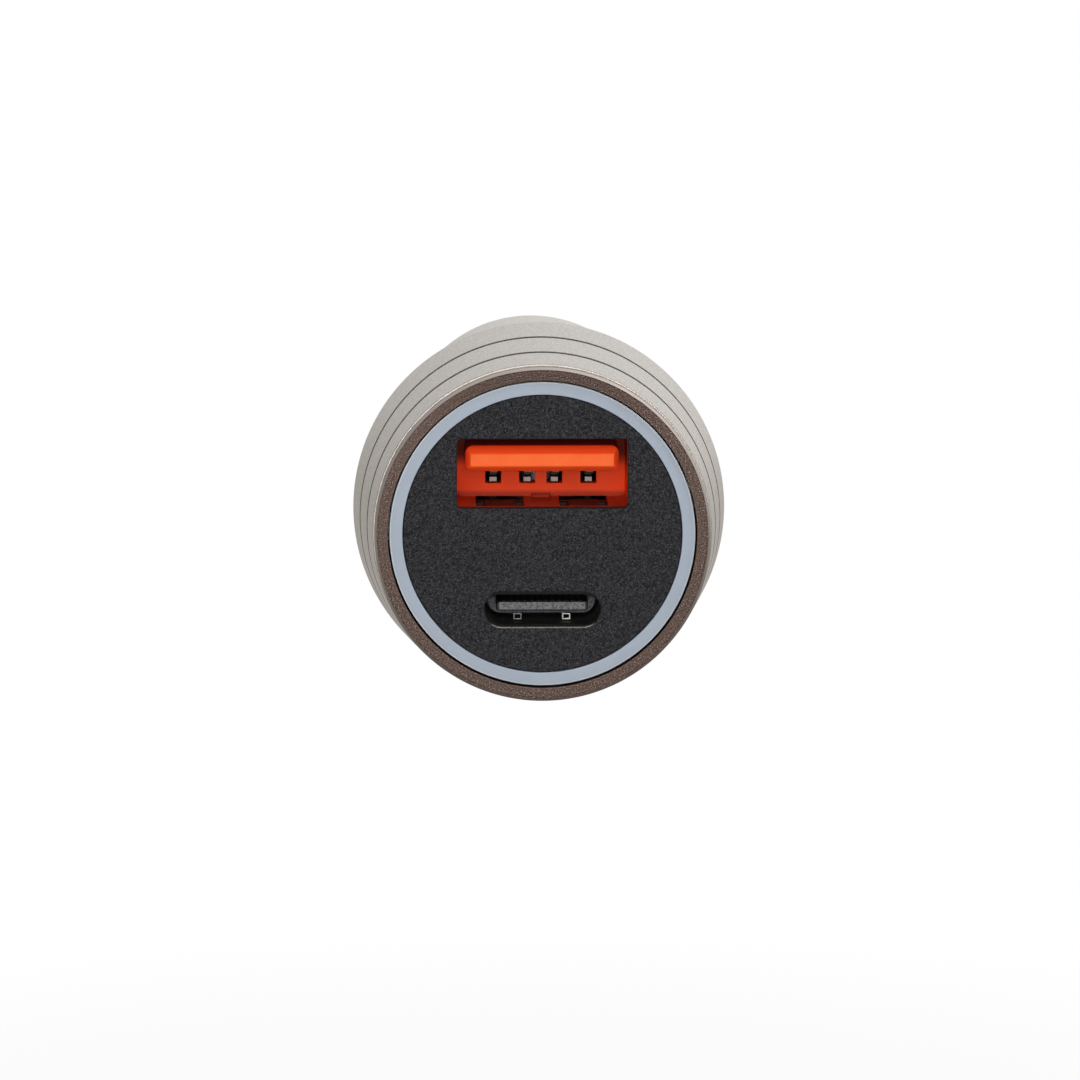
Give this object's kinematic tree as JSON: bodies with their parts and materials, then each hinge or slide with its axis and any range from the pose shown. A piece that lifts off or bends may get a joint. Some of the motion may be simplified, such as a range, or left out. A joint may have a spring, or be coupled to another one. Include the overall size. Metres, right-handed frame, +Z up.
{
  "type": "car usb charger plug",
  "caption": "In-car charger plug with a flared metal head, a lit ring around two stacked ports, and a barrel with sprung side and tip contacts.",
  "frame": {"origin": "on the plug's axis, in the middle of the plain stretch of barrel next to the head that a 12 volt socket holds", "axes": "+Y along the axis towards the tip, +Z up with the wide port uppermost, +X to the right when looking at the face"},
  "size_m": [0.0278, 0.0642, 0.0278],
  "materials": {
    "blasted_shell": "fine bead-blasted, champagne silver",
    "brown_trim": "blasted and dyed brown, satin",
    "light_guide": "milky pale blue-grey, satin",
    "face_black": "fine spark texture",
    "port_orange": "moulded orange, semi-gloss",
    "shell_steel": "plain drawn steel",
    "plated_contact": "plated, bright",
    "port_black": "moulded black",
    "circuit_board": "green solder mask",
    "lamp": "clear lamp body",
    "moulded_black": "moulded black, fine grain",
    "ferrite": "sintered, matt",
    "copper_wire": "enamelled winding",
    "capacitor_can": "drawn can",
    "chip_body": "moulded, matt",
    "white_ceramic": "white ceramic body",
    "tan_ceramic": "tan ceramic body",
    "nickel_plate": "nickel plated, bright",
    "spring_steel": "drawn wire"
  },
  "bodies": {
    "charger": {"body_shell": "blasted_shell", "bezel_ring": "brown_trim", "light_ring": "light_guide", "faceplate": "face_black", "usb_a_housing": "port_orange", "usb_a_shell": "shell_steel", "usb_a_contact_1": "plated_contact", "usb_a_contact_2": "plated_contact", "usb_a_contact_3": "plated_contact", "usb_a_contact_4": "plated_contact", "usb_c_shell": "shell_steel", "usb_c_tongue": "port_black", "usb_c_contacts": "plated_contact", "led_board": "circuit_board", "led_1": "lamp", "led_2": "lamp", "led_3": "lamp", "led_4": "lamp", "led_5": "lamp", "led_6": "lamp", "main_board": "circuit_board", "board_carrier": "moulded_black", "inductor_core": "ferrite", "inductor_winding": "copper_wire", "input_capacitor": "capacitor_can", "output_capacitor": "capacitor_can", "converter_chip": "chip_body", "protocol_chip": "chip_body", "rectifier_diode": "chip_body", "fuse": "white_ceramic", "ceramic_capacitors": "tan_ceramic", "resistors": "chip_body", "left_contact_spring": "spring_steel", "right_contact_spring": "spring_steel", "left_ground_clip": "plated_contact", "right_ground_clip": "plated_contact", "nose_insulator": "moulded_black", "centre_spring": "spring_steel", "centre_terminal": "plated_contact"},
    "tip": {"centre_contact": "nickel_plate"},
    "left_contact": {"left_ground_contact": "nickel_plate"},
    "right_contact": {"right_ground_contact": "nickel_plate"}
  },
  "joints": [
    {"name": "tip_press", "type": "slide", "parent": "charger", "child": "tip", "axis": [0, -1, 0], "range_m": [0, 0.0025], "stiffness_N_per_m": 900, "deforming": ["centre_spring"]},
    {"name": "left_contact_press", "type": "slide", "parent": "charger", "child": "left_contact", "axis": [1, 0, 0], "range_m": [0, 0.0015], "stiffness_N_per_m": 900, "deforming": ["left_contact_spring"]},
    {"name": "right_contact_press", "type": "slide", "parent": "charger", "child": "right_contact", "axis": [-1, 0, 0], "range_m": [0, 0.0015], "stiffness_N_per_m": 900, "deforming": ["right_contact_spring"]}
  ]
}
